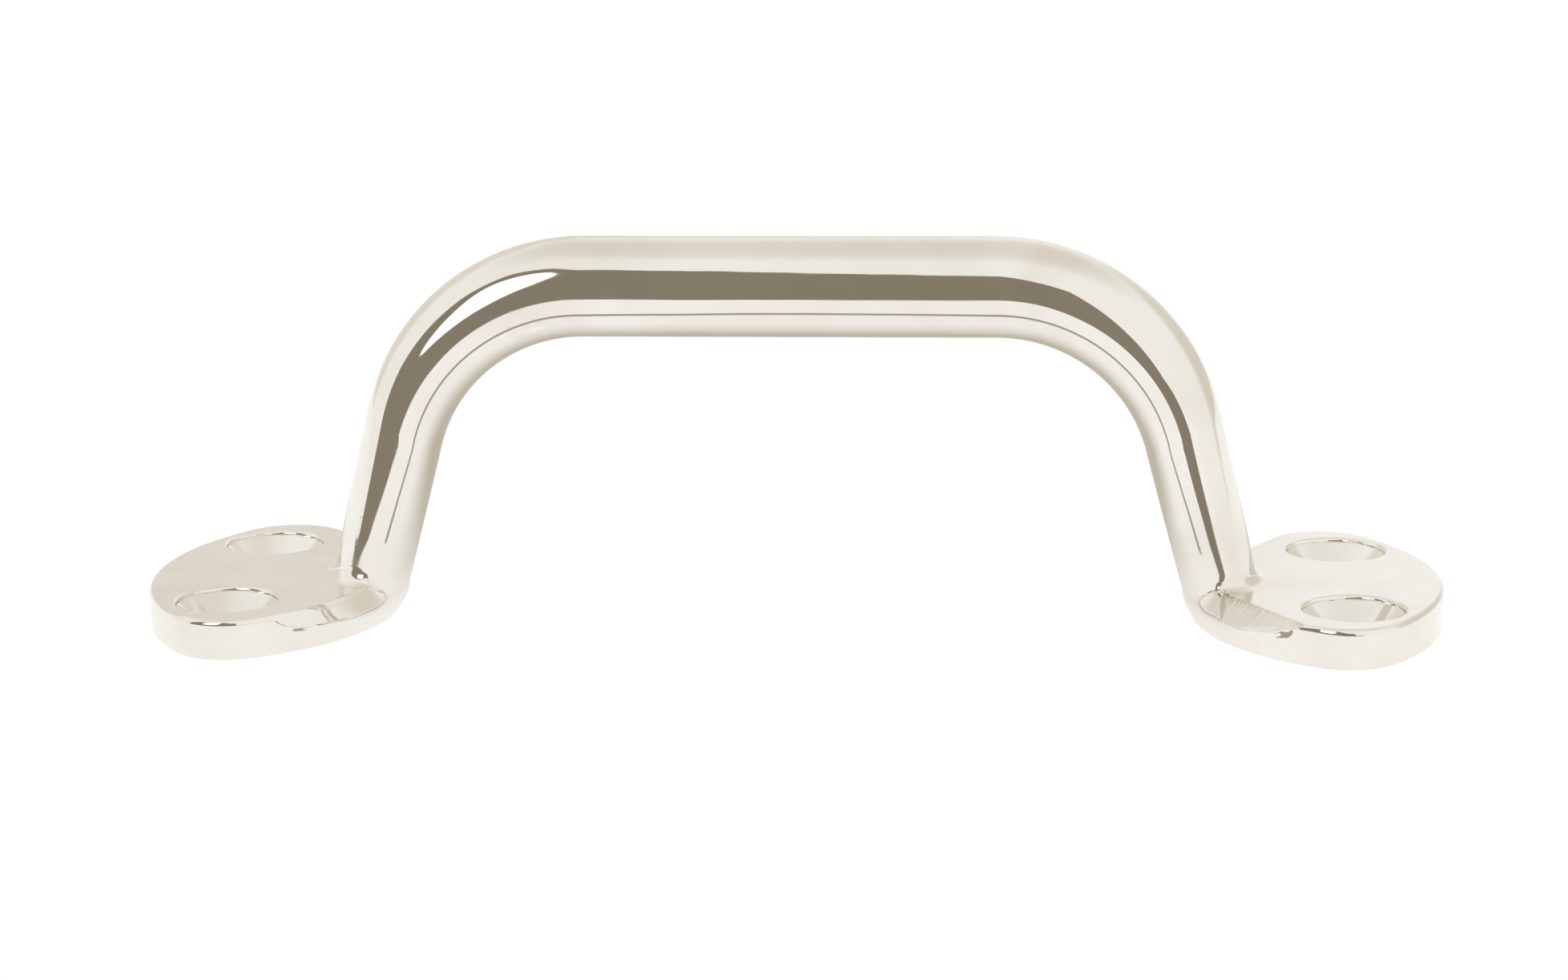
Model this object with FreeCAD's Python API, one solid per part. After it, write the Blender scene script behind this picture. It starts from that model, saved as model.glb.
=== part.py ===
"""Cast grab rail for a boat: a round grip held off its mounting face by two splayed legs, each
ending in an oval foot with two countersunk screw holes.

The rail is one casting. It is written here as seven sections that meet face to face: the grip,
two bends, two legs and two feet, so that each can be told apart, refinished or measured.

Frame: origin on the mounting face, midway between the feet. +X runs along the grip to the right
foot, +Y runs across the feet to the back, +Z points away from the mounting face.
Sizes are in millimetres and angles in degrees.
"""

import FreeCAD
import Part
import math
import os

# Grip
GRIP_DIAMETER = 12.7
GRIP_STRAIGHT = 51.8  # length of the straight, round part between the bends
GRIP_HEIGHT = 42.0  # centre of the grip above the mounting face

# Bends and legs. The outer and inner curves of a bend have their own centres, so it thins as it
# turns, while it grows wider along Y.
OUTER_BEND_RADIUS = 28.7
INNER_BEND_RADIUS = 19.3
LEG_TOP_WIDTH = 13.4  # along Y, where the bend ends
LEG_BASE_WIDTH = 15.0  # along Y, where the leg's faces would meet the mounting face
LEG_BASE_THICKNESS = 9.7  # along X, at the same place

# Screw holes
HOLE_SPACING_X = 139.3  # from one foot to the other
HOLE_SPACING_Y = 30.2  # between the two holes of a foot
SCREW_HOLE_DIAMETER = 6.6  # clearance for a 6 mm or 1/4 in screw
COUNTERSINK_DIAMETER = 13.0
COUNTERSINK_ANGLE = 90.0

# Feet: an oval made of an outer arc, an inner arc and two round tips
FOOT_THICKNESS = 5.0
FOOT_WIDTH = 51.2  # along Y
FOOT_OUTER_REACH = 12.3  # from the line of the holes to the outer edge
FOOT_INNER_REACH = 19.4  # from the line of the holes to the heel of the leg
FOOT_TIP_RADIUS = 7.4
FOOT_TIP_INSET = 1.2  # how far the tips' centres sit inboard of the line of the holes
FOOT_EDGE_ROUND = 0.8  # on the top edge

# Where a leg grows out of its foot
ROOT_HEIGHT = 5.0  # how far the foot's section reaches up the leg, above the foot's top
ROOT_BLEND_RADIUS = 1.5
ROOT_BLEND_TURN = 75.0  # how far the blend turns before it meets the foot's top
HEEL_STEP = 0.2  # how far the leg's inner face stands proud of the foot's inner side at z = 0
HEEL_SLOPE = 20.0  # of the foot's inner side off vertical, back from under the leg

# Flats ground on one foot's inner edge, in front of the leg and behind it
GROUND_HAND = "right"
GROUND_SETBACK = 0.65  # beside the leg, along the foot's top
GROUND_SLOPE = 50.0  # down from the foot's top

# Construction, not size
BEND_STATIONS = 13
BLEND_STATIONS = 7
BELOW = 2.0  # how far a tool runs past the face that it cuts

GRIP_RADIUS = GRIP_DIAMETER / 2
HALF_STRAIGHT = GRIP_STRAIGHT / 2
HOLE_X = HOLE_SPACING_X / 2
HOLE_Y = HOLE_SPACING_Y / 2
HEEL_X = HOLE_X - FOOT_INNER_REACH
OUTER_EDGE_X = HOLE_X + FOOT_OUTER_REACH
TIP_X = HOLE_X - FOOT_TIP_INSET
TIP_Y = FOOT_WIDTH / 2 - FOOT_TIP_RADIUS
ROOT_TOP = FOOT_THICKNESS + ROOT_HEIGHT

X_AXIS = FreeCAD.Vector(1, 0, 0)
Y_AXIS = FreeCAD.Vector(0, 1, 0)
Z_AXIS = FreeCAD.Vector(0, 0, 1)


class BendProfile:
    """One edge of the right-hand bend and leg in the plane of the grip: an arc, then a line."""

    def __init__(self, straight_z, radius, base_x):
        """straight_z is the edge's height along the grip, and base_x where it meets z = 0."""
        self.radius = radius
        self.centre = FreeCAD.Vector(HALF_STRAIGHT, 0, straight_z - radius)
        self.base = FreeCAD.Vector(base_x, 0, 0)
        reach = self.base - self.centre
        self.end_angle = math.atan2(reach.x, reach.z) - math.acos(radius / reach.Length)
        self.end = self.on_arc(1)

    def on_arc(self, share):
        """Point on the arc, from 0 at the straight grip to 1 at the leg."""
        angle = share * self.end_angle
        return self.centre + FreeCAD.Vector(math.sin(angle), 0, math.cos(angle)) * self.radius

    def at_height(self, z):
        """Point on the leg's line at a height above the mounting face."""
        return self.base + (self.end - self.base) * (z / self.end.z)


OUTER = BendProfile(GRIP_HEIGHT + GRIP_RADIUS, OUTER_BEND_RADIUS, HEEL_X + LEG_BASE_THICKNESS)
INNER = BendProfile(GRIP_HEIGHT - GRIP_RADIUS, INNER_BEND_RADIUS, HEEL_X)


def oval_section(outer_point, inner_point, width):
    """Closed wire of an ellipse that spans the two points and is as wide as given along Y."""
    centre = (outer_point + inner_point) / 2
    across = (outer_point - inner_point) / 2
    normal = across.cross(Y_AXIS).normalize()
    placing = FreeCAD.Matrix(
        across.x, 0, normal.x, centre.x,
        0, width / 2, 0, 0,
        across.z, 0, normal.z, centre.z,
        0, 0, 0, 1,
    )
    circle = Part.Circle(FreeCAD.Vector(0, 0, 0), Z_AXIS, 1).toShape()
    return Part.Wire(circle.transformGeometry(placing).Edges)


def leg_section(z, growth=0):
    """Level oval of the leg at a height, let out by growth on every side but the inner one."""
    width = LEG_BASE_WIDTH + (LEG_TOP_WIDTH - LEG_BASE_WIDTH) * z / OUTER.end.z
    return oval_section(OUTER.at_height(z) + X_AXIS * growth, INNER.at_height(z), width + 2 * growth)


def grip_bar():
    """The straight, round grip."""
    start = FreeCAD.Vector(-HALF_STRAIGHT, 0, GRIP_HEIGHT)
    return Part.makeCylinder(GRIP_RADIUS, GRIP_STRAIGHT, start, X_AXIS)


def bend():
    """The right-hand bend, from the round grip to the oval top of the leg."""
    sections = []
    for i in range(BEND_STATIONS):
        share = i / (BEND_STATIONS - 1)
        width = GRIP_DIAMETER + (LEG_TOP_WIDTH - GRIP_DIAMETER) * share
        sections.append(oval_section(OUTER.on_arc(share), INNER.on_arc(share), width))
    return Part.makeLoft(sections, True, False)


def leg():
    """The right-hand leg, from the end of the bend to the top of the foot's root."""
    top = oval_section(OUTER.end, INNER.end, LEG_TOP_WIDTH)
    return Part.makeLoft([top, leg_section(ROOT_TOP)], True, True)


def root():
    """The leg's lowest part, which spreads in a blend at the foot's top and ends at z = 0."""
    turn = math.radians(ROOT_BLEND_TURN)
    blend = []
    for i in range(BLEND_STATIONS):
        angle = turn * i / (BLEND_STATIONS - 1)
        z = FOOT_THICKNESS + ROOT_BLEND_RADIUS * (math.sin(turn) - math.sin(angle))
        blend.append(leg_section(z, ROOT_BLEND_RADIUS * (1 - math.cos(angle))))
    spread = ROOT_BLEND_RADIUS * (1 - math.cos(turn))
    shank = Part.makeLoft([leg_section(ROOT_TOP), blend[0]], True, True)
    base = Part.makeLoft([blend[-1], leg_section(0, spread)], True, True)
    return shank.fuse([Part.makeLoft(blend, True, False), base])


def side_arc_radius(edge_x):
    """Radius of the arc that crosses y = 0 at edge_x and runs tangent into both round tips."""
    reach = abs(edge_x - TIP_X)
    return (reach**2 + TIP_Y**2 - FOOT_TIP_RADIUS**2) / (2 * (reach - FOOT_TIP_RADIUS))


def side_arc_centre(edge_x):
    """Centre of that arc, on the tips' side of the edge."""
    return X_AXIS * (edge_x + math.copysign(side_arc_radius(edge_x), TIP_X - edge_x))


def tip_joint(edge_x, side):
    """Point where that arc runs into the tip at the front (-1) or the back (1)."""
    tip = FreeCAD.Vector(TIP_X, side * TIP_Y, 0)
    return tip + (tip - side_arc_centre(edge_x)).normalize() * FOOT_TIP_RADIUS


def heel_at(z):
    """Where the foot's inner side crosses y = 0: level with the leg's face only at the bottom."""
    return HEEL_X + HEEL_STEP + z * math.tan(math.radians(HEEL_SLOPE))


def foot_outline(z):
    """Closed wire of the right foot's plan at a height: outer arc, round tip, inner arc, tip."""
    heel_x = heel_at(z)
    front_end = FreeCAD.Vector(TIP_X, -FOOT_WIDTH / 2, 0)
    back_end = FreeCAD.Vector(TIP_X, FOOT_WIDTH / 2, 0)
    outer_front = tip_joint(OUTER_EDGE_X, -1)
    outer_back = tip_joint(OUTER_EDGE_X, 1)
    inner_front = tip_joint(heel_x, -1)
    inner_back = tip_joint(heel_x, 1)
    arcs = [
        (outer_front, X_AXIS * OUTER_EDGE_X, outer_back),
        (outer_back, back_end, inner_back),
        (inner_back, X_AXIS * heel_x, inner_front),
        (inner_front, front_end, outer_front),
    ]
    wire = Part.Wire([Part.Arc(*points).toShape() for points in arcs])
    wire.translate(Z_AXIS * z)
    return wire


def ground_flat(side):
    """Block that grinds the foot's inner edge to a slope, at the front (-1) or the back (1)."""
    beside_leg = side * LEG_BASE_WIDTH / 2
    heel_x = heel_at(FOOT_THICKNESS)
    centre = side_arc_centre(heel_x)
    inset = math.sqrt(side_arc_radius(heel_x) ** 2 - beside_leg**2)
    edge = FreeCAD.Vector(centre.x - inset, beside_leg, 0)
    start = edge + (centre - edge).normalize() * GROUND_SETBACK
    along = (tip_joint(heel_x, side) - start).normalize()
    outward = along.cross(Z_AXIS) * -side
    size = FOOT_WIDTH
    block = Part.makeBox(size, size, size, FreeCAD.Vector(-size / 2, 0, 0))
    turned = FreeCAD.Rotation(along * -side, outward, Z_AXIS, "XYZ")
    tilted = FreeCAD.Rotation(along * -side, -GROUND_SLOPE)
    block.Placement = FreeCAD.Placement(start + Z_AXIS * FOOT_THICKNESS, tilted * turned)
    return block


def screw_hole(side):
    """Drill and countersink for one hole of the right foot, as a tool to cut with."""
    place = FreeCAD.Vector(HOLE_X, side * HOLE_Y, 0)
    hole_radius = SCREW_HOLE_DIAMETER / 2
    sink_radius = COUNTERSINK_DIAMETER / 2
    slope = math.tan(math.radians(COUNTERSINK_ANGLE / 2))
    sink_floor = FOOT_THICKNESS - (sink_radius - hole_radius) / slope
    above = FOOT_THICKNESS + BELOW
    drill = Part.makeCylinder(hole_radius, above + BELOW, place - Z_AXIS * BELOW)
    mouth = sink_radius + BELOW * slope
    cone = Part.makeCone(hole_radius, mouth, above - sink_floor, place + Z_AXIS * sink_floor)
    return drill.fuse(cone)


def foot(is_ground):
    """The right foot: an oval plate with a rounded top edge, ground or not, and the leg's root."""
    plate = Part.makeLoft([foot_outline(0), foot_outline(FOOT_THICKNESS)], True, True)
    top_edges = [edge for edge in plate.Edges if edge.BoundBox.ZMin > FOOT_THICKNESS / 2]
    plate = plate.makeFillet(FOOT_EDGE_ROUND, top_edges)
    if is_ground:
        plate = plate.cut([ground_flat(side) for side in (-1, 1)])
    return plate.fuse(root()).cut([screw_hole(side) for side in (-1, 1)]).removeSplitter()


def main():
    """Build every section and write each to its own file."""
    os.makedirs("parts", exist_ok=True)
    nodes = {"grip_bar": grip_bar()}
    for hand in ("left", "right"):
        sections = {"bend": bend(), "leg": leg(), "foot": foot(hand == GROUND_HAND)}
        for name, shape in sections.items():
            if hand == "left":
                shape.rotate(FreeCAD.Vector(0, 0, 0), Z_AXIS, 180)
            nodes[f"{hand}_{name}"] = shape
    for name, shape in nodes.items():
        print(name, shape.isValid(), shape.ShapeType, len(shape.Solids), round(shape.Volume, 1))
        shape.exportStep(f"parts/{name}.step")


main()
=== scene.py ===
"""Looks for a polished cast grab rail: one seamless casting, its finishes and a bright studio."""

import logging
import math
from dataclasses import dataclass, field
from enum import Enum
from typing import Callable, List, Sequence, Tuple

import bmesh
import bpy
import numpy as np
from mathutils import Matrix, Vector


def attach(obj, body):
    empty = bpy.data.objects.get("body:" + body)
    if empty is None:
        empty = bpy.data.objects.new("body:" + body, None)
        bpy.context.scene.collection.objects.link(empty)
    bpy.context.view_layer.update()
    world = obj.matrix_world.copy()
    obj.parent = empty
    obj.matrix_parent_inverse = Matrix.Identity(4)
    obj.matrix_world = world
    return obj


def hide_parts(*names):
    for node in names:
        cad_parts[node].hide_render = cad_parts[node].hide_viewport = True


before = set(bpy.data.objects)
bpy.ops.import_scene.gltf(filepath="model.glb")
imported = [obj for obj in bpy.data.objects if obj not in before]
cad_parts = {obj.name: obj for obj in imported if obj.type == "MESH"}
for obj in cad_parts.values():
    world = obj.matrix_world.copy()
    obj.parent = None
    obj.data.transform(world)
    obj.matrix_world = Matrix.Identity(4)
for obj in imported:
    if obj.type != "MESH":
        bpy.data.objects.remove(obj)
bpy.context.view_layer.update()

MM = 0.001
BODY = "root"
NODES = ("grip_bar", "left_bend", "right_bend", "left_leg", "right_leg", "left_foot", "right_foot")
QUARTER = math.pi / 2
UP = Vector((0, 0, 1))

Colour = Tuple[float, float, float]
Place = Tuple[float, float, float]

log = logging.getLogger("grab_rail")


class Hand(Enum):
    """The two ends of the rail, by the sign of X."""

    LEFT = -1
    RIGHT = 1


class End(Enum):
    """The two ends of a foot, by the sign of Y."""

    FRONT = -1
    BACK = 1


class Surface(Enum):
    """Which finish a face of the casting takes, by material slot."""

    POLISHED = 0
    GROUND = 1
    TURNED = 2


# ------------------------------------------------------------------ hand tools


def rest_hands() -> None:
    """Leave edit mode and deselect everything."""
    if bpy.context.object and bpy.context.object.mode != "OBJECT":
        bpy.ops.object.mode_set(mode="OBJECT")
    bpy.ops.object.select_all(action="DESELECT")


def pick(piece: bpy.types.Object) -> None:
    """Select one object and make it active."""
    rest_hands()
    piece.select_set(True)
    bpy.context.view_layer.objects.active = piece


def begin_circle(name: str, count: int, radius: float) -> bpy.types.Object:
    """Add a circle primitive to draw a form out of.

    Args:
        name: the new object's name.
        count: points on the circle.
        radius: its radius.

    Returns:
        The object, in edit mode, with its points numbered in the layer "spoke".
    """
    rest_hands()
    bpy.ops.mesh.primitive_circle_add(vertices=count, radius=radius)
    piece = bpy.context.object
    piece.name = name
    piece.data.name = name
    bpy.ops.object.mode_set(mode="EDIT")
    mesh = bmesh.from_edit_mesh(piece.data)
    spoke = mesh.verts.layers.int.new("spoke")
    mesh.verts.ensure_lookup_table()
    for index, vert in enumerate(mesh.verts):
        vert[spoke] = index
    bmesh.update_edit_mesh(piece.data)
    return piece


def set_ring(piece: bpy.types.Object, points: np.ndarray) -> None:
    """Move the selected ring's points on to their places, by spoke."""
    mesh = bmesh.from_edit_mesh(piece.data)
    spoke = mesh.verts.layers.int["spoke"]
    for vert in mesh.verts:
        if vert.select:
            vert.co = Vector(points[vert[spoke]])
    bmesh.update_edit_mesh(piece.data, loop_triangles=False)


def draw_out(piece: bpy.types.Object, rings: Sequence[np.ndarray]) -> None:
    """Extrude the selected ring through a row of outlines."""
    for points in rings:
        bpy.ops.mesh.extrude_region_move()
        set_ring(piece, points)


def select_points(piece: bpy.types.Object, test: Callable[[Vector], bool]) -> None:
    """Select the points of a piece in edit mode that pass a test of place."""
    bpy.ops.mesh.select_mode(type="VERT")
    bpy.ops.mesh.select_all(action="DESELECT")
    mesh = bmesh.from_edit_mesh(piece.data)
    for vert in mesh.verts:
        if test(vert.co):
            vert.select_set(True)
    mesh.select_flush_mode()
    bmesh.update_edit_mesh(piece.data, loop_triangles=False)


def close_skin(piece: bpy.types.Object, gap: float) -> None:
    """Merge points that meet, turn every face outward and leave edit mode."""
    bpy.ops.mesh.select_mode(type="VERT")
    bpy.ops.mesh.select_all(action="SELECT")
    bpy.ops.mesh.remove_doubles(threshold=gap)
    bpy.ops.mesh.normals_make_consistent(inside=False)
    rest_hands()


def apply_modifiers(piece: bpy.types.Object) -> None:
    """Apply every modifier of a piece, in order."""
    pick(piece)
    for modifier in list(piece.modifiers):
        bpy.ops.object.modifier_apply(modifier=modifier.name)


def take_away(casting: bpy.types.Object, cutter: bpy.types.Object) -> None:
    """Cut the cutter's form out of the casting and remove the cutter."""
    modifier = casting.modifiers.new("cut", "BOOLEAN")
    modifier.operation = "DIFFERENCE"
    modifier.solver = "EXACT"
    modifier.object = cutter
    apply_modifiers(casting)
    bpy.data.objects.remove(cutter)


def steps(start: float, stop: float, count: int) -> np.ndarray:
    """Even steps from start to stop, with the start left out."""
    return np.linspace(start, stop, count + 1)[1:]


def sweep(centre: np.ndarray, radius: float, ends: Sequence[np.ndarray], count: int) -> np.ndarray:
    """Lay points along an arc, anticlockwise.

    Args:
        centre: the arc's centre, as (x, y).
        radius: its radius.
        ends: where it starts and where it stops, each (x, y).
        count: how many points.

    Returns:
        The points, with the stop left out.
    """
    first, last = (math.atan2(*(place - centre)[::-1]) for place in ends)
    angles = first + np.linspace(0, (last - first) % math.tau, count, endpoint=False)
    return centre + radius * np.stack([np.cos(angles), np.sin(angles)], 1)


# ------------------------------------------------------------------ the casting


@dataclass(frozen=True)
class BendProfile:
    """An arc off the grip and the leg's line that follows it, in the plane of the grip."""

    half_straight: float
    straight_z: float
    radius: float
    base_x: float

    @property
    def centre(self) -> np.ndarray:
        """Centre of the arc, as (x, z)."""
        return np.array([self.half_straight, self.straight_z - self.radius])

    @property
    def end_angle(self) -> float:
        """How far the arc turns before it runs into the line."""
        reach = np.array([self.base_x, 0.0]) - self.centre
        return math.atan2(reach[0], reach[1]) - math.acos(self.radius / math.hypot(*reach))

    def on_arc(self, share: float) -> np.ndarray:
        """Point on the arc, from 0 at the grip to 1 at the leg, as (x, z)."""
        angle = share * self.end_angle
        return self.centre + self.radius * np.array([math.sin(angle), math.cos(angle)])

    def at_height(self, z: float) -> np.ndarray:
        """Point on the leg's line at a height, as (x, z)."""
        end, base = self.on_arc(1.0), np.array([self.base_x, 0.0])
        return base + (end - base) * (z / end[1])


@dataclass(frozen=True)
class Foot:
    """The plan of an oval foot and the shape of its sides, for the right-hand end.

    Attributes:
        outer_reach: from the holes' line to the plate's outer side.
        tip_inset: how far inside the holes' line the tips' centres lie.
        bottom_round: how far the lower edge is broken.
        heel_x: the inner side at the mounting face.
        heel_run: how far the inner side leans back by the foot's top.
        heel_curve: how late that lean begins; 1 is an even slope.
        heel_melt: how widely the leg and the inner side flow together.
        melt_fade: share by which that narrows at the foot's top.
        heel_tuck: how far the leg's inner face is drawn in at the mounting face.
        tuck_height: where that drawing in begins.
        fineness: points on each of the outline's four arcs.
    """

    thickness: float = 5.0 * MM
    hole_x: float = 69.65 * MM
    hole_y: float = 15.1 * MM
    outer_reach: float = 12.3 * MM
    width: float = 51.2 * MM
    tip_radius: float = 7.4 * MM
    tip_inset: float = 1.2 * MM
    edge_round: float = 0.8 * MM
    bottom_round: float = 0.12 * MM
    heel_x: float = 50.7 * MM
    heel_run: float = 1.82 * MM
    heel_curve: float = 3.0
    heel_melt: float = 3.4 * MM
    melt_fade: float = 0.4
    heel_tuck: float = 1.3 * MM
    tuck_height: float = 3.0 * MM
    fineness: int = 700

    @property
    def tip(self) -> Tuple[float, float]:
        """Centre of the back tip's round."""
        return self.hole_x - self.tip_inset, self.width / 2 - self.tip_radius

    def heel_at(self, z: float) -> float:
        """Where the plate's inner side crosses the X axis at a height."""
        return self.heel_x + self.heel_run * (max(0.0, z) / self.thickness) ** self.heel_curve

    def side_arc(self, edge_x: float) -> Tuple[np.ndarray, float]:
        """Work out the arc of one side, which runs into the rounds of both tips."""
        tip_x, tip_y = self.tip
        reach = abs(edge_x - tip_x)
        radius = (reach**2 + tip_y**2 - self.tip_radius**2) / (2 * (reach - self.tip_radius))
        return np.array([edge_x + math.copysign(radius, tip_x - edge_x), 0.0]), radius

    def tip_joint(self, edge_x: float, end: End) -> np.ndarray:
        """Find the point where a side runs into the round of a tip."""
        tip = np.array([self.tip[0], end.value * self.tip[1]])
        away = tip - self.side_arc(edge_x)[0]
        return tip + away / np.linalg.norm(away) * self.tip_radius

    def outline(self, z: float) -> np.ndarray:
        """Lay points round the plan at a height."""
        outer_x, heel_x = self.hole_x + self.outer_reach, self.heel_at(z)
        back = np.array(self.tip)
        front = back * (1, -1)
        outer = [self.tip_joint(outer_x, end) for end in End]
        heel = [self.tip_joint(heel_x, end) for end in End]
        runs = [
            sweep(*self.side_arc(outer_x), (outer[0], outer[1]), self.fineness),
            sweep(back, self.tip_radius, (outer[1], heel[1]), self.fineness),
            sweep(*self.side_arc(heel_x), (heel[1], heel[0]), self.fineness),
            sweep(front, self.tip_radius, (heel[0], outer[0]), self.fineness),
        ]
        return np.concatenate(runs)

    def reach(self, z: float, centre_x: float, ways: np.ndarray) -> np.ndarray:
        """Measure how far the plan's outline lies from a centre on the X axis.

        Args:
            z: the height.
            centre_x: the centre.
            ways: the directions to measure along, each (x, y).

        Returns:
            A distance for each direction.
        """
        away = self.outline(z) - np.array([centre_x, 0.0])
        angle = np.arctan2(away[:, 1], away[:, 0])
        order = np.argsort(angle)
        asked = np.arctan2(ways[:, 1], ways[:, 0])
        return np.interp(asked, angle[order], np.hypot(*away.T)[order], period=math.tau)


@dataclass
class Casting:
    """The whole rail as one seamless skin, drawn out from the middle of the grip.

    Attributes:
        spokes: points on each ring.
        outer_bend: radius of the bend's outer edge, as inner_bend is of its inner edge.
        leg_base_width: the leg along Y at the mounting face; its thickness there is along X.
        heel_x: the leg's inner face at the mounting face.
        root_top: where the leg's slanted rings have turned level.
        left_blend: round between the leg and the top of the left foot.
        merge_gap: how near two points lie to be merged.
    """

    spokes: int = 192
    grip_radius: float = 6.35 * MM
    grip_height: float = 42.0 * MM
    half_straight: float = 25.9 * MM
    outer_bend: float = 28.7 * MM
    inner_bend: float = 19.3 * MM
    leg_top_width: float = 13.4 * MM
    leg_base_width: float = 15.0 * MM
    leg_base_thickness: float = 9.7 * MM
    heel_x: float = 50.25 * MM
    root_top: float = 10.0 * MM
    left_blend: float = 1.6 * MM
    right_blend: float = 1.2 * MM
    merge_gap: float = 0.004 * MM
    grip_stations: int = 26
    bend_stations: int = 52
    leg_stations: int = 18
    root_stations: int = 5
    blend_stations: int = 10
    plate_stations: int = 8
    edge_stations: int = 7
    wall_stations: int = 7
    foot: Foot = field(default_factory=Foot)

    def __post_init__(self) -> None:
        """Work out the two edges of the bend and leg, and the way of each spoke."""
        half, height, radius = self.half_straight, self.grip_height, self.grip_radius
        outer_base = self.heel_x + self.leg_base_thickness
        self.outer = BendProfile(half, height + radius, self.outer_bend, outer_base)
        self.inner = BendProfile(half, height - radius, self.inner_bend, self.heel_x)
        turn = np.arange(self.spokes) * math.tau / self.spokes
        self.across, self.along_y = np.cos(turn), np.sin(turn)
        oval = np.array([self.leg_base_thickness / 2, self.leg_base_width / 2])
        ways = np.stack([self.across, self.along_y], 1) * oval
        self.ways = ways / np.linalg.norm(ways, axis=1)[:, None]

    def oval(self, outer: np.ndarray, inner: np.ndarray, width: float) -> np.ndarray:
        """Lay a ring on an ellipse that spans two points.

        Args:
            outer: the ellipse's end on the outer edge, as (x, z).
            inner: its end on the inner edge, as (x, z).
            width: its width along Y.

        Returns:
            A place for each spoke.
        """
        middle, half = (outer + inner) / 2, (outer - inner) / 2
        plan = middle[None] + self.across[:, None] * half[None]
        return np.stack([plan[:, 0], self.along_y * width / 2, plan[:, 1]], 1)

    def grip_ring(self, x: float) -> np.ndarray:
        """Ring round the straight grip at a place along X."""
        top, low = self.grip_height + self.grip_radius, self.grip_height - self.grip_radius
        return self.oval(np.array([x, top]), np.array([x, low]), 2 * self.grip_radius)

    def grip_rings(self) -> List[np.ndarray]:
        """Rings along the right half of the grip, after the middle one."""
        return [self.grip_ring(x) for x in steps(0, self.half_straight, self.grip_stations)]

    def bend_rings(self) -> List[np.ndarray]:
        """Lay rings round the right-hand bend."""
        round_width, rings = 2 * self.grip_radius, []
        for share in steps(0, 1, self.bend_stations):
            width = round_width + (self.leg_top_width - round_width) * share
            rings.append(self.oval(self.outer.on_arc(share), self.inner.on_arc(share), width))
        return rings

    def leg_width(self, z: float) -> float:
        """Width of the leg along Y at a height."""
        share = z / self.outer.on_arc(1.0)[1]
        return self.leg_base_width + (self.leg_top_width - self.leg_base_width) * share

    def leg_rings(self) -> List[np.ndarray]:
        """Lay rings down the right-hand leg."""
        low, rings = self.root_top, []
        outer_top, inner_top = self.outer.on_arc(1.0), self.inner.on_arc(1.0)
        outer_low, inner_low = self.outer.at_height(low), self.inner.at_height(low)
        spread = self.leg_width(low) - self.leg_top_width
        for share in steps(0, 1, self.leg_stations):
            outer = outer_top + (outer_low - outer_top) * share
            inner = inner_top + (inner_low - inner_top) * share
            rings.append(self.oval(outer, inner, self.leg_top_width + spread * share))
        return rings

    def leg_middle(self, z: float) -> float:
        """Where the leg's middle lies along X at a height."""
        return (self.outer.at_height(z)[0] + self.inner.at_height(z)[0]) / 2

    def leg_reach(self, z: float) -> np.ndarray:
        """Measure how far the leg's skin lies from its middle."""
        thick = (self.outer.at_height(z)[0] - self.inner.at_height(z)[0]) / 2
        wide = self.leg_width(z) / 2
        return 1 / np.hypot(self.ways[:, 0] / thick, self.ways[:, 1] / wide)

    def side_reach(self, z: float) -> np.ndarray:
        """Measure how far the foot's side lies from the leg's middle.

        Args:
            z: the height.

        Returns:
            A distance for each spoke: the leg's or the plate's, whichever is larger, with the
            two flowing together where they meet and drawn in under the leg.
        """
        foot = self.foot
        leg = self.leg_reach(z)
        plate = foot.reach(z, self.leg_middle(z), self.ways)
        melt = foot.heel_melt * (1 - foot.melt_fade * z / foot.thickness)
        near = np.clip(melt - np.abs(plate - leg), 0, None) / melt
        facing = np.clip(-self.ways[:, 0], 0, 1) ** 2
        tuck = foot.heel_tuck * facing * max(0.0, 1 - z / foot.tuck_height) ** 2
        return np.maximum(leg, plate) + near**2 * melt / 4 - tuck

    def level_ring(self, z: float, reach: np.ndarray) -> np.ndarray:
        """Lay a level ring round the leg's middle."""
        plan = self.ways * reach[:, None]
        return np.stack([self.leg_middle(z) + plan[:, 0], plan[:, 1], np.full(len(plan), z)], 1)

    def foot_rings(self, blend: float) -> List[np.ndarray]:
        """Lay rings from the leg's root over the foot's top, round its edge and down its side.

        Args:
            blend: round between the leg and the foot's top.

        Returns:
            The rings for the right-hand foot, the last one level with the mounting face.
        """
        foot, top = self.foot, self.foot.thickness
        ledge = self.side_reach(top) - self.leg_reach(top)
        fit = np.minimum(1.0, ledge / (blend + foot.edge_round))
        grow, ease = blend * fit, foot.edge_round * fit
        rings = []
        for z in steps(self.root_top, top + blend, self.root_stations):
            rings.append(self.level_ring(z, self.leg_reach(z)))
        for angle in steps(0, QUARTER, self.blend_stations):
            z = top + blend * (1 - math.sin(angle))
            rings.append(self.level_ring(z, self.leg_reach(z) + grow * (1 - math.cos(angle))))
        inside, outside = self.leg_reach(top) + grow, self.side_reach(top) - ease
        for share in steps(0, 1, self.plate_stations):
            rings.append(self.level_ring(top, inside + (outside - inside) * share))
        for angle in steps(0, QUARTER, self.edge_stations):
            z = top - foot.edge_round * (1 - math.cos(angle))
            rings.append(self.level_ring(z, self.side_reach(z) - ease * (1 - math.sin(angle))))
        for z in steps(top - foot.edge_round, foot.bottom_round, self.wall_stations):
            rings.append(self.level_ring(z, self.side_reach(z)))
        rings.append(self.level_ring(0.0, self.side_reach(0.0) - foot.bottom_round))
        return rings

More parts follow.
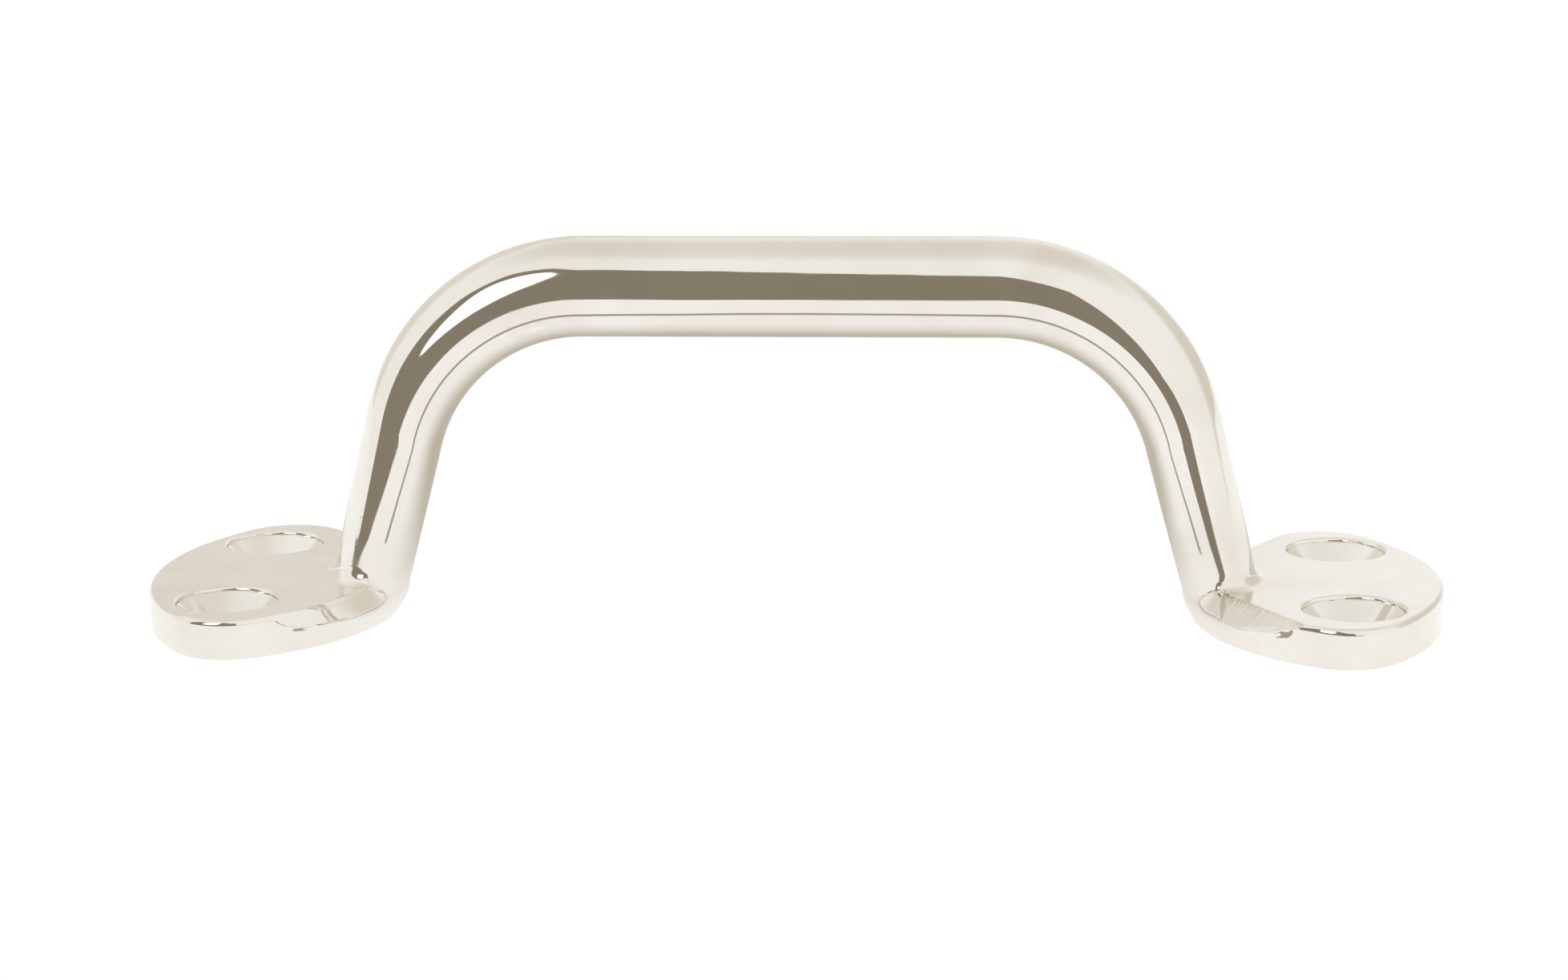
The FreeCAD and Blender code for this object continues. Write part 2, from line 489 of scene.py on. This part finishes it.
    def draw_half(self, piece: bpy.types.Object, hand: Hand) -> None:
        """Draw one half of the rail out of the ring at the middle of the grip."""
        blend = self.left_blend if hand is Hand.LEFT else self.right_blend
        rings = self.grip_rings() + self.bend_rings() + self.leg_rings() + self.foot_rings(blend)
        mirror = np.array([hand.value, 1.0, 1.0])
        select_points(piece, lambda place: abs(place.x) < self.merge_gap)
        bpy.ops.mesh.select_mode(type="EDGE")
        draw_out(piece, [points * mirror for points in rings])
        bpy.ops.mesh.edge_face_add()

    def build(self) -> bpy.types.Object:
        """Draw out both halves and close the skin."""
        piece = begin_circle("rail_casting", self.spokes, self.grip_radius)
        bpy.ops.mesh.select_all(action="SELECT")
        set_ring(piece, self.grip_ring(0.0))
        for hand in Hand:
            self.draw_half(piece, hand)
        close_skin(piece, self.merge_gap)
        return piece


@dataclass
class GroundFlat:
    """A sloped flat ground on the right foot's inner edge, from beside the leg to a tip.

    Attributes:
        slope: how far the flat falls from level.
        setback: how far in from the edge it starts, beside the leg.
        run_in: how far from the leg's side it starts.
        run_in_lean: how much later it starts for each length down its slope.
        clearance: how far the block reaches past the flat's upper edge.
        block: the block's length, depth down the slope and height.
        tolerance: how far off the plane a face of the flat may lie.
    """

    foot: Foot
    end: End
    leg_width: float
    slope: float = math.radians(43.0)
    setback: float = 0.45 * MM
    run_in: float = 0.8 * MM
    run_in_lean: float = 0.9
    clearance: float = 0.3 * MM
    block: Place = (24.0 * MM, 8.0 * MM, 4.0 * MM)
    tolerance: float = 0.003 * MM

    def __post_init__(self) -> None:
        """Work out the line that the flat follows along the foot's top, and its plane."""
        foot = self.foot
        heel = foot.heel_at(foot.thickness)
        centre, radius = foot.side_arc(heel)
        beside = self.end.value * self.leg_width / 2
        edge = np.array([centre[0] - math.sqrt(radius**2 - beside**2), beside])
        start = edge + (centre - edge) / np.linalg.norm(centre - edge) * self.setback
        along = foot.tip_joint(heel, self.end) - start
        self.start = Vector((*start, foot.thickness))
        self.along = Vector((*along, 0)).normalized()
        outward = Vector((-self.along.y, self.along.x, 0)) * self.end.value
        self.normal = outward * math.sin(self.slope) + UP * math.cos(self.slope)
        self.down = outward * math.cos(self.slope) - UP * math.sin(self.slope)

    def holds(self, place: Vector) -> bool:
        """Say whether a place lies on the flat."""
        off = place - self.start
        beside = 0 < off.dot(self.along) < self.block[0]
        return beside and off.dot(self.down) > 0 and abs(off.dot(self.normal)) < self.tolerance

    def cut(self, casting: bpy.types.Object) -> None:
        """Grind the flat with a slanted block whose lower side lies on the plane."""
        rest_hands()
        bpy.ops.mesh.primitive_cube_add(size=1.0)
        block = bpy.context.object
        length, depth, height = self.block
        for vert in block.data.vertices:
            down = depth if vert.co.y > 0 else -self.clearance
            along = length if vert.co.x > 0 else self.run_in + self.run_in_lean * down
            out = height if vert.co.z > 0 else 0.0
            vert.co = self.start + self.along * along + self.down * down + self.normal * out
        bpy.ops.object.mode_set(mode="EDIT")
        bpy.ops.mesh.select_all(action="SELECT")
        bpy.ops.mesh.normals_make_consistent(inside=False)
        rest_hands()
        take_away(casting, block)


@dataclass
class ScrewHole:
    """A drilled hole with a turned cone and a polished rim, as a cutter for the casting.

    Attributes:
        sink_radius: radius of the countersink, half-way round its rim.
        lip: depth of the short wall between the rim and the cone.
        past: how far the cutter reaches past the foot, above and below.
        collar: how much wider than the rim the cutter is above the foot.
        collar_gap: how far above the foot that wider part ends.
        cone_rings: extra rings on the cone, as shares of its depth.
        margin: how far inside the countersink's radius the turned finish ends.
        level: how much of a face's normal is vertical where it counts as level.
    """

    foot: Foot
    drill_radius: float = 3.3 * MM
    sink_radius: float = 6.5 * MM
    rim_round: float = 0.5 * MM
    lip: float = 0.1 * MM
    past: float = 2.0 * MM
    collar: float = 0.02 * MM
    collar_gap: float = 0.004 * MM
    cone_rings: Tuple[float, float] = (0.06, 0.94)
    points: int = 128
    rim_steps: int = 8
    merge_gap: float = 0.0005 * MM
    margin: float = 0.2 * MM
    level: float = 0.9

    def profile(self) -> List[Tuple[float, float]]:
        """Lay out the cutter's outline from its top down to below the foot."""
        top, outer = self.foot.thickness, self.sink_radius + self.rim_round / 2
        rows = [(outer + self.collar, top + self.past), (outer + self.collar, top + self.collar_gap)]
        for angle in steps(0, QUARTER, self.rim_steps):
            radius = outer - self.rim_round * math.sin(angle)
            rows.append((radius, top - self.rim_round * (1 - math.cos(angle))))
        mouth, mouth_z = outer - self.rim_round, top - self.rim_round - self.lip
        depth = mouth - self.drill_radius
        rows.append((mouth, mouth_z))
        for share in self.cone_rings:
            rows.append((mouth - depth * share, mouth_z - depth * share))
        rows.append((self.drill_radius, mouth_z - depth))
        rows.append((self.drill_radius, -self.past))
        return rows

    def make_cutter(self) -> bpy.types.Object:
        """Draw the cutter out of a circle, standing on the Z axis."""
        turn = np.arange(self.points) * math.tau / self.points
        plan = np.stack([np.cos(turn), np.sin(turn), np.zeros(self.points)], 1)
        rows = [plan * radius + np.array([0, 0, z]) for radius, z in self.profile()]
        cutter = begin_circle("cutter", self.points, self.sink_radius)
        bpy.ops.mesh.select_all(action="SELECT")
        set_ring(cutter, rows[0])
        bpy.ops.mesh.edge_face_add()
        draw_out(cutter, rows[1:])
        close_skin(cutter, self.merge_gap)
        return cutter

    def sink_all(self, casting: bpy.types.Object) -> None:
        """Sink the hole into both ends of both feet, with a copy of the cutter for each."""
        first = self.make_cutter()
        for hand in Hand:
            for end in End:
                cutter = first.copy()
                cutter.data = first.data.copy()
                place = (hand.value * self.foot.hole_x, end.value * self.foot.hole_y, 0)
                cutter.data.transform(Matrix.Translation(place))
                bpy.context.collection.objects.link(cutter)
                take_away(casting, cutter)
        bpy.data.objects.remove(first)

    def holds(self, place: Vector, normal: Vector) -> bool:
        """Say whether a face belongs to the turned inside of a hole.

        Args:
            place: the face's middle.
            normal: its normal.

        Returns:
            True inside the rim, save on the level faces round the drill below.
        """
        away = math.hypot(abs(place.x) - self.foot.hole_x, abs(place.y) - self.foot.hole_y)
        return away < self.sink_radius - self.margin and abs(normal.z) < self.level


# ------------------------------------------------------------------ finishes


class Nodes:
    """A short way to lay and wire nodes in one tree."""

    def __init__(self, tree: bpy.types.NodeTree) -> None:
        """Hold the tree."""
        self.tree = tree

    def wire(self, source: bpy.types.NodeSocket, target: bpy.types.NodeSocket) -> None:
        """Join two sockets."""
        self.tree.links.new(source, target)

    def feed(self, target: bpy.types.NodeSocket, value: object) -> None:
        """Give an input a socket, a colour of three parts or a plain value."""
        if isinstance(value, bpy.types.NodeSocket):
            self.wire(value, target)
        elif target.type == "RGBA":
            target.default_value = (*value, 1)
        else:
            target.default_value = value

    def add(self, kind: str, **values: object) -> bpy.types.Node:
        """Add a node.

        Args:
            kind: the node's type.
            values: its properties, or what its inputs get where no property has the name.

        Returns:
            The node.
        """
        node = self.tree.nodes.new(kind)
        for name, value in values.items():
            if hasattr(node, name):
                setattr(node, name, value)
            else:
                self.feed(node.inputs[name.replace("_", " ")], value)
        return node

    def math(self, operation: str, *terms: object) -> bpy.types.NodeSocket:
        """Do a sum on sockets and plain numbers."""
        node = self.add("ShaderNodeMath", operation=operation)
        for target, term in zip(node.inputs, terms):
            self.feed(target, term)
        return node.outputs["Value"]

    def vector(self, operation: str, *terms: object) -> bpy.types.Node:
        """Do a sum on vectors; the node answers in "Vector" or "Value"."""
        node = self.add("ShaderNodeVectorMath", operation=operation)
        for target, term in zip(node.inputs, terms):
            self.feed(target, term)
        return node

    def ramp(self, value: bpy.types.NodeSocket, **values: object) -> bpy.types.NodeSocket:
        """Stretch a value from one range on to another."""
        return self.add("ShaderNodeMapRange", Value=value, **values).outputs["Result"]

    def noise(self, vector: bpy.types.NodeSocket, **values: object) -> bpy.types.NodeSocket:
        """Lay a noise on a vector."""
        return self.add("ShaderNodeTexNoise", Vector=vector, **values).outputs["Fac"]

    def placed(self, vector: bpy.types.NodeSocket, **values: object) -> bpy.types.NodeSocket:
        """Move, turn and stretch a vector."""
        return self.add("ShaderNodeMapping", Vector=vector, **values).outputs["Vector"]

    def lay_over(self, below: object, above: object, mask: bpy.types.NodeSocket) -> bpy.types.NodeSocket:
        """Mix one colour over another."""
        mix = self.add("ShaderNodeMix", data_type="RGBA", A=below, B=above, Factor=mask)
        return mix.outputs["Result"]

    def finish(self, kind: str, light: bpy.types.NodeSocket) -> None:
        """Wire a shader to a new output node of the given kind."""
        self.wire(light, self.add(kind).inputs["Surface"])


def new_group(
    name: str,
    inputs: Sequence[Tuple[str, str, float]],
    outputs: Sequence[Tuple[str, str]],
) -> bpy.types.NodeTree:
    """Make a shader node group with named sockets.

    Args:
        name: the group's name.
        inputs: name, socket kind and starting value of each input.
        outputs: name and socket kind of each output.

    Returns:
        The group, with its input and output nodes named "in" and "out".
    """
    group = bpy.data.node_groups.new(name, "ShaderNodeTree")
    for label, kind, value in inputs:
        socket = group.interface.new_socket(label, in_out="INPUT", socket_type=kind)
        if kind != "NodeSocketVector":
            socket.default_value = value
    for label, kind in outputs:
        group.interface.new_socket(label, in_out="OUTPUT", socket_type=kind)
    group.nodes.new("NodeGroupInput").name = "in"
    group.nodes.new("NodeGroupOutput").name = "out"
    return group


def hand_polish_group(scratch_share: float = 0.004) -> bpy.types.NodeTree:
    """Make the masks and height of a hand-polished skin: smears, soft waves and fine scratches."""
    group = new_group(
        "hand_polish",
        [("Vector", "NodeSocketVector", 0.0), ("Smear Size", "NodeSocketFloat", 60.0)],
        [("Smear", "NodeSocketFloat"), ("Scratch", "NodeSocketFloat"), ("Height", "NodeSocketFloat")],
    )
    nodes, given, out = Nodes(group), group.nodes["in"].outputs, group.nodes["out"].inputs
    where = given["Vector"]
    smear = nodes.noise(where, Scale=given["Smear Size"], Detail=3.0, Roughness=0.55, Distortion=0.6)
    nodes.wire(nodes.ramp(smear, From_Min=0.42, From_Max=0.68), out["Smear"])
    drawn = nodes.placed(where, Scale=(60.0, 1400.0, 1400.0), Rotation=(0.3, 0.2, 0.35))
    streak = nodes.noise(drawn, Scale=1.0, Detail=2.0, Roughness=0.6)
    scratch = nodes.ramp(streak, From_Min=0.62, From_Max=0.72)
    nodes.wire(scratch, out["Scratch"])
    wave = nodes.noise(where, Scale=110.0, Detail=1.0, Roughness=0.4)
    nodes.wire(nodes.math("MULTIPLY_ADD", scratch, -scratch_share, wave), out["Height"])
    return group


def edge_wear_group() -> bpy.types.NodeTree:
    """Make the masks of edges rubbed bright and of creases that the polishing wheel missed."""
    group = new_group(
        "edge_wear",
        [("Vector", "NodeSocketVector", 0.0)],
        [("Edge", "NodeSocketFloat"), ("Crease", "NodeSocketFloat")],
    )
    nodes, given, out = Nodes(group), group.nodes["in"].outputs, group.nodes["out"].inputs
    bend = nodes.add("ShaderNodeNewGeometry").outputs["Pointiness"]
    breakup = nodes.noise(given["Vector"], Scale=500.0, Detail=2.0)
    for label, low, high in (("Edge", 0.54, 0.62), ("Crease", 0.47, 0.40)):
        wear = nodes.ramp(bend, From_Min=low, From_Max=high)
        nodes.wire(nodes.math("MULTIPLY", wear, breakup), out[label])
    return group


@dataclass(frozen=True)
class NickelFinish:
    """Nickel over cast metal, by how well the wheel reached it.

    Attributes:
        bright: colour where the wheel ran well, as smooth is its roughness there.
        dull: colour in the smears, as rough is the roughness there.
        tarnish: colour in creases.
        rubbed: colour of rubbed edges.
        scratch_rough: roughness that a scratch adds.
        tool_depth: depth of the grinding strokes or turning rings.
        stroke_turn: how far the grinding strokes are turned from X.
        stroke_scale: how fine they are across and along.
        ring_pitch: width of a turning ring.
    """

    name: str
    surface: Surface
    bright: Colour = (0.870, 0.846, 0.792)
    dull: Colour = (0.815, 0.780, 0.715)
    tarnish: Colour = (0.55, 0.49, 0.40)
    rubbed: Colour = (0.93, 0.91, 0.87)
    smooth: float = 0.03
    rough: float = 0.075
    scratch_rough: float = 0.05
    wave_depth: float = 0.06 * MM
    tool_depth: float = 0.0
    stroke_turn: float = -1.02
    stroke_scale: Place = (2600.0, 160.0, 160.0)
    ring_pitch: float = 0.2992 * MM

    def strokes(self, nodes: Nodes, folded: bpy.types.NodeSocket) -> bpy.types.NodeSocket:
        """Lay the height of straight grinding strokes."""
        turned = nodes.placed(folded, Rotation=(0.0, 0.0, self.stroke_turn))
        drawn = nodes.placed(turned, Scale=self.stroke_scale)
        return nodes.noise(drawn, Scale=1.0, Detail=2.0, Roughness=0.5)

    def rings(self, nodes: Nodes, folded: bpy.types.NodeSocket) -> bpy.types.NodeSocket:
        """Lay the height of turning rings round every screw hole."""
        centred = nodes.placed(folded, Location=(-Foot.hole_x, -Foot.hole_y, 0.0), Scale=(1, 1, 0))
        away = nodes.vector("LENGTH", centred).outputs["Value"]
        return nodes.math("SINE", nodes.math("MULTIPLY", away, math.tau / self.ring_pitch))

    def colour(self, nodes: Nodes, marks: bpy.types.Node, worn: bpy.types.Node) -> bpy.types.NodeSocket:
        """Lay the colour: bright metal, duller in smears, darker in creases and paler on edges."""
        smeared = nodes.lay_over(self.bright, self.dull, marks.outputs["Smear"])
        aged = nodes.lay_over(smeared, self.tarnish, worn.outputs["Crease"])
        return nodes.lay_over(aged, self.rubbed, worn.outputs["Edge"])

    def relief(
        self, nodes: Nodes, where: bpy.types.NodeSocket, height: bpy.types.NodeSocket
    ) -> bpy.types.NodeSocket:
        """Lay the bumps: soft waves everywhere, and a tool's marks where one was used."""
        waves = nodes.add("ShaderNodeBump", Strength=1.0, Distance=self.wave_depth, Height=height)
        if self.surface is Surface.POLISHED:
            return waves.outputs["Normal"]
        tooling = self.strokes if self.surface is Surface.GROUND else self.rings
        marks = tooling(nodes, nodes.vector("ABSOLUTE", where).outputs["Vector"])
        tool = nodes.add("ShaderNodeBump", Strength=1.0, Distance=self.tool_depth, Height=marks)
        nodes.wire(waves.outputs["Normal"], tool.inputs["Normal"])
        return tool.outputs["Normal"]

    def make(self, polish: bpy.types.NodeTree, wear: bpy.types.NodeTree) -> bpy.types.Material:
        """Build the material."""
        material = bpy.data.materials.new(self.name)
        material.use_nodes = True
        material.node_tree.nodes.clear()
        nodes = Nodes(material.node_tree)
        where = nodes.add("ShaderNodeTexCoord").outputs["Object"]
        marks = nodes.add("ShaderNodeGroup", node_tree=polish)
        worn = nodes.add("ShaderNodeGroup", node_tree=wear)
        nodes.wire(where, marks.inputs["Vector"])
        nodes.wire(where, worn.inputs["Vector"])
        smeared = nodes.ramp(marks.outputs["Smear"], To_Min=self.smooth, To_Max=self.rough)
        rough = nodes.math("MULTIPLY_ADD", marks.outputs["Scratch"], self.scratch_rough, smeared)
        shader = nodes.add("ShaderNodeBsdfPrincipled", Metallic=1.0, Roughness=rough)
        nodes.wire(self.colour(nodes, marks, worn), shader.inputs["Base Color"])
        nodes.wire(self.relief(nodes, where, marks.outputs["Height"]), shader.inputs["Normal"])
        nodes.finish("ShaderNodeOutputMaterial", shader.outputs["BSDF"])
        return material


FINISHES = (
    NickelFinish("polished_nickel", Surface.POLISHED),
    NickelFinish(
        "ground_nickel",
        Surface.GROUND,
        bright=(0.85, 0.82, 0.76),
        dull=(0.75, 0.71, 0.64),
        smooth=0.09,
        rough=0.16,
        tool_depth=0.05 * MM,
    ),
    NickelFinish("turned_nickel", Surface.TURNED, smooth=0.06, rough=0.11, tool_depth=0.0006 * MM),
)


def mark_flat_edges(casting: bpy.types.Object) -> None:
    """Keep the borders of the ground flats sharp."""
    mesh = bmesh.new()
    mesh.from_mesh(casting.data)
    for edge in mesh.edges:
        finishes = {face.material_index for face in edge.link_faces}
        if Surface.GROUND.value in finishes and len(finishes) > 1:
            edge.smooth = False
    mesh.to_mesh(casting.data)
    mesh.free()


def dress(
    casting: bpy.types.Object,
    hole: ScrewHole,
    flats: Sequence[GroundFlat],
    sharp_from: float = math.radians(38),
) -> None:
    """Give every face of the casting its finish and smooth its skin.

    Args:
        casting: the piece, with its flats ground and its holes sunk.
        hole: tells which faces were turned.
        flats: tell which faces were ground.
        sharp_from: angle between two faces from which their edge stays sharp.
    """
    polish, wear = hand_polish_group(), edge_wear_group()
    casting.data.materials.clear()
    for finish in FINISHES:
        casting.data.materials.append(finish.make(polish, wear))
    for face in casting.data.polygons:
        if hole.holds(face.center, face.normal):
            face.material_index = Surface.TURNED.value
        elif any(flat.holds(face.center) for flat in flats):
            face.material_index = Surface.GROUND.value
        else:
            face.material_index = Surface.POLISHED.value
    pick(casting)
    bpy.ops.object.shade_smooth_by_angle(angle=sharp_from)
    mark_flat_edges(casting)
    weighted = casting.modifiers.new("weighted", "WEIGHTED_NORMAL")
    weighted.mode = "FACE_AREA"
    weighted.weight = 50
    weighted.keep_sharp = True
    apply_modifiers(casting)


# ------------------------------------------------------------------ studio


@dataclass(frozen=True)
class Viewpoint:
    """A camera on a ray from a target, by azimuth, elevation, roll and distance."""

    azimuth: float = math.radians(4.022)
    elevation: float = math.radians(12.836)
    roll: float = math.radians(-0.556)
    distance: float = 475.54 * MM
    target: Place = (-0.986 * MM, 0.0, 15.911 * MM)
    lens: float = 86.24
    sensor: float = 36.0
    clip: Tuple[float, float] = (0.01, 50.0)

    def make(self) -> bpy.types.Object:
        """Place the camera and make it the scene's own."""
        level = math.cos(self.elevation)
        side, ahead = math.sin(self.azimuth) * level, math.cos(self.azimuth) * level
        back = Vector((side, -ahead, math.sin(self.elevation)))
        right = (-back).cross(UP).normalized()
        up = right.cross(-back)
        cos, sin = math.cos(self.roll), math.sin(self.roll)
        right, up = right * cos + up * sin, up * cos - right * sin
        data = bpy.data.cameras.new("camera")
        data.lens, data.sensor_width, data.sensor_fit = self.lens, self.sensor, "HORIZONTAL"
        data.clip_start, data.clip_end = self.clip
        camera = bpy.data.objects.new("camera", data)
        bpy.context.scene.collection.objects.link(camera)
        place = Matrix.Translation(Vector(self.target) + back * self.distance)
        camera.matrix_world = place @ Matrix((right, up, back)).transposed().to_4x4()
        bpy.context.scene.camera = camera
        return camera


@dataclass
class Studio:
    """A white tent with a dark opening in front, a soft box in it and a pale floor.

    Attributes:
        half: half the floor's length.
        dim_patches: direction, start, full and strength of each dimmed patch of the tent.
        middle: height that the opening and the soft box are aimed from.
        opening_faces: azimuth of the opening's middle, in degrees.
        opening_rim: azimuth and elevation of its corners, in degrees.
        table: the dark table's corners, as (x, y).
        box_at: azimuth and elevation of the soft box, in degrees.
        box_size: its half width and half height.
        grey_arc_outer: half length and reach of the grey arc's outer edge, as grey_arc_inner of its
            inner.
        grey_arc_turn: how far either way the arcs run, in degrees.
        shade_size: half length and half width of the shaded floor.
        lift: height of the grey arc and the shaded floor over the mounting face.
        sink: how far the floor lies below it.
    """

    half: float = 6.0
    backdrop_y: float = 5.9
    white: float = 1.02
    sky_light: Colour = (0.975, 0.975, 0.955)
    sky_dim: Colour = (0.765, 0.725, 0.655)
    dim_patches: Tuple[Tuple[Place, float, float, float], ...] = (
        ((-0.49, 0.85, 0.17), 0.80, 0.95, 0.80),
        ((0.70, 0.70, 0.17), 0.84, 0.975, 1.0),
        ((0.10, 0.33, 0.94), 0.70, 0.985, 0.75),
    )
    middle: float = 42.0 * MM
    dark: Colour = (0.262, 0.232, 0.180)
    opening_far: float = 0.9
    opening_faces: float = -28.0
    opening_rim: Tuple[Tuple[float, float], ...] = (
        (-72, -4), (-74, 15), (-66, 40), (-50, 52), (-25, 52), (-8, 44),
        (1, 33), (8, 28), (16, 26), (18, 10), (17, -4),
    )
    table: Tuple[Tuple[float, float], ...] = (
        (-0.50, -0.115), (0.03, -0.115), (0.066, -0.052), (0.086, -0.052),
        (0.13, -0.11), (0.60, -1.6), (-2.6, -1.6), (-2.6, -0.25),
    )
    box_at: Tuple[float, float] = (-34.0, 28.0)
    box_far: float = 0.8
    box_size: Tuple[float, float] = (0.21, 0.25)
    box_glow: float = 1.6
    grey_arc_outer: Tuple[float, float] = (58.0 * MM, 36.0 * MM)
    grey_arc_inner: Tuple[float, float] = (54.0 * MM, 30.5 * MM)
    grey_arc_turn: float = 38.0
    grey_arc_tone: Colour = (0.42, 0.37, 0.31)
    shade_size: Tuple[float, float] = (140.0 * MM, 64.0 * MM)
    shade_y: float = 48.0 * MM
    shade_tone: Colour = (0.58, 0.54, 0.46)
    table_lift: float = 0.05 * MM
    lift: float = 0.1 * MM
    sink: float = 0.02 * MM

    def glow(self, name: str, colour: Colour, strength: float) -> bpy.types.Material:
        """Make a plain glowing material for a floor or card."""
        material = bpy.data.materials.new(name)
        material.use_nodes = True
        material.node_tree.nodes.clear()
        nodes = Nodes(material.node_tree)
        light = nodes.add("ShaderNodeEmission", Color=colour, Strength=strength)
        nodes.finish("ShaderNodeOutputMaterial", light.outputs["Emission"])
        return material

    def shade_glow(self) -> bpy.types.Material:
        """Make the shaded floor's glow, which fades to the floor's white towards its edge."""
        material = self.glow("shaded_floor", self.shade_tone, 1.0)
        nodes = Nodes(material.node_tree)
        long, wide = self.shade_size
        where = nodes.placed(
            nodes.add("ShaderNodeTexCoord").outputs["Object"],
            Location=(0, -self.shade_y / wide, 0),
            Scale=(1 / long, 1 / wide, 0),
        )
        away = nodes.vector("LENGTH", where).outputs["Value"]
        fade = nodes.ramp(away, From_Min=0.25, From_Max=0.98, interpolation_type="SMOOTHSTEP")
        tone = nodes.lay_over(self.shade_tone, (self.white,) * 3, fade)
        nodes.wire(tone, material.node_tree.nodes["Emission"].inputs["Color"])
        return material

    def sheet(
        self, name: str, corners: Sequence[Place], material: bpy.types.Material, hidden: bool = True
    ) -> bpy.types.Object:
        """Lay a flat sheet."""
        rest_hands()
        bpy.ops.mesh.primitive_circle_add(vertices=len(corners), radius=1.0, fill_type="NGON")
        sheet = bpy.context.object
        sheet.name = name
        for vert, corner in zip(sheet.data.vertices, corners):
            vert.co = Vector(corner)
        sheet.data.materials.append(material)
        sheet.visible_camera = not hidden
        sheet.visible_shadow = not hidden
        return sheet

    def floor_and_backdrop(self) -> None:
        """Lay the floor and stand the backdrop, which doesn't light or mirror in the rail."""
        half, low, far = self.half, -self.sink, self.backdrop_y
        white = self.glow("floor_white", (1.0, 0.995, 0.985), self.white)
        corners = [(-half, -half, low), (half, -half, low), (half, half, low), (-half, half, low)]
        self.sheet("floor", corners, white, hidden=False)
        clear = self.glow("backdrop_white", (1.0, 1.0, 1.0), self.white)
        corners = [(-half, far, -0.1), (half, far, -0.1), (half, far, half), (-half, far, half)]
        backdrop = self.sheet("backdrop", corners, clear, hidden=False)
        backdrop.visible_glossy = False
        backdrop.visible_diffuse = False

    def opening(self, material: bpy.types.Material) -> None:
        """Stand the tent's opening upright, with its corners in their directions from the rail."""
        places = []
        for azimuth, elevation in self.opening_rim:
            turn = math.radians(azimuth)
            reach = self.opening_far / math.cos(math.radians(azimuth - self.opening_faces))
            height = self.middle + reach * math.tan(math.radians(elevation))
            places.append((reach * math.sin(turn), -reach * math.cos(turn), height))
        self.sheet("opening", places, material)

    def soft_box(self, points: int = 96, square: float = 1.6) -> None:
        """Hang the soft box in the opening, facing the rail."""
        azimuth, elevation = (math.radians(value) for value in self.box_at)
        level = math.cos(elevation)
        out = Vector((math.sin(azimuth) * level, -math.cos(azimuth) * level, math.sin(elevation)))
        right = out.cross(UP).normalized()
        up = right.cross(out)
        centre = UP * self.middle + out * self.box_far
        places = []
        for turn in np.arange(points) * math.tau / points:
            x, y = -math.sin(turn), math.cos(turn)
            norm = (abs(x) ** (2 * square) + abs(y) ** (2 * square)) ** (-0.5 / square)
            across, upward = x * norm * self.box_size[0], y * norm * self.box_size[1]
            places.append(centre + right * across + up * upward)
        self.sheet("soft_box", places, self.glow("soft_box_white", (1.0, 1.0, 1.0), self.box_glow))

    def ledge(self, count: int = 15) -> None:
        """Lay a thin grey arc on the floor before the rail; the camera doesn't see it and it casts no
        shadow, so it shows only mirrored in the rail.
        """
        turns = np.radians(np.linspace(-self.grey_arc_turn, self.grey_arc_turn, count))
        places = []
        for (long, reach), row in ((self.grey_arc_outer, turns), (self.grey_arc_inner, turns[::-1])):
            places += [(long * math.sin(turn), -reach * math.cos(turn), self.lift) for turn in row]
        self.sheet("ledge", places, self.glow("grey_arc_card", self.grey_arc_tone, 1.0))

    def shaded_floor(self, count: int = 32) -> None:
        """Lay the oval of shaded floor under and behind the rail."""
        long, wide = self.shade_size
        places = []
        for turn in np.arange(count) * math.tau / count:
            places.append((long * math.cos(turn), self.shade_y + wide * math.sin(turn), self.lift))
        self.sheet("rail_shade", places, self.shade_glow())

    def tent(self) -> None:
        """Dim the tent towards its roof and towards the back on either side."""
        world = bpy.data.worlds.new("tent")
        bpy.context.scene.world = world
        world.use_nodes = True
        world.node_tree.nodes.clear()
        nodes = Nodes(world.node_tree)
        way = nodes.add("ShaderNodeTexCoord").outputs["Generated"]
        shade = None
        for lean, low, high, amount in self.dim_patches:
            dot = nodes.vector("DOT_PRODUCT", way, lean).outputs["Value"]
            patch = {"From_Min": low, "From_Max": high, "To_Max": amount}
            lobe = nodes.ramp(dot, interpolation_type="SMOOTHSTEP", **patch)
            shade = lobe if shade is None else nodes.math("MAXIMUM", shade, lobe)
        tone = nodes.lay_over(self.sky_light, self.sky_dim, shade)
        sky = nodes.add("ShaderNodeBackground", Strength=1.0, Color=tone)
        nodes.finish("ShaderNodeOutputWorld", sky.outputs["Background"])

    def make(self) -> None:
        """Set up the tent, floor, backdrop and everything that shows in the rail."""
        bpy.context.scene.view_settings.view_transform = "Standard"
        self.tent()
        self.floor_and_backdrop()
        dark = self.glow("opening_dark", self.dark, 1.0)
        self.opening(dark)
        self.sheet("dark_table", [(x, y, self.table_lift) for x, y in self.table], dark)
        self.soft_box()
        self.ledge()
        self.shaded_floor()


def main() -> None:
    """Build the rail, then the camera and studio, and report each piece."""
    logging.basicConfig(level=logging.INFO, format="%(name)s: %(message)s")
    rail = Casting()
    casting = rail.build()
    log.info("casting drawn out: %d points", len(casting.data.vertices))
    flats = [GroundFlat(rail.foot, end, rail.leg_base_width) for end in End]
    for flat in flats:
        flat.cut(casting)
        log.info("flat ground: %s", flat.end.name.lower())
    hole = ScrewHole(rail.foot)
    hole.sink_all(casting)
    log.info("screw holes sunk: %d points", len(casting.data.vertices))
    dress(casting, hole, flats)
    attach(casting, BODY)
    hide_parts(*NODES)
    log.info("casting finished: %d faces", len(casting.data.polygons))
    Viewpoint().make()
    Studio().make()


if __name__ == "__main__":
    main()
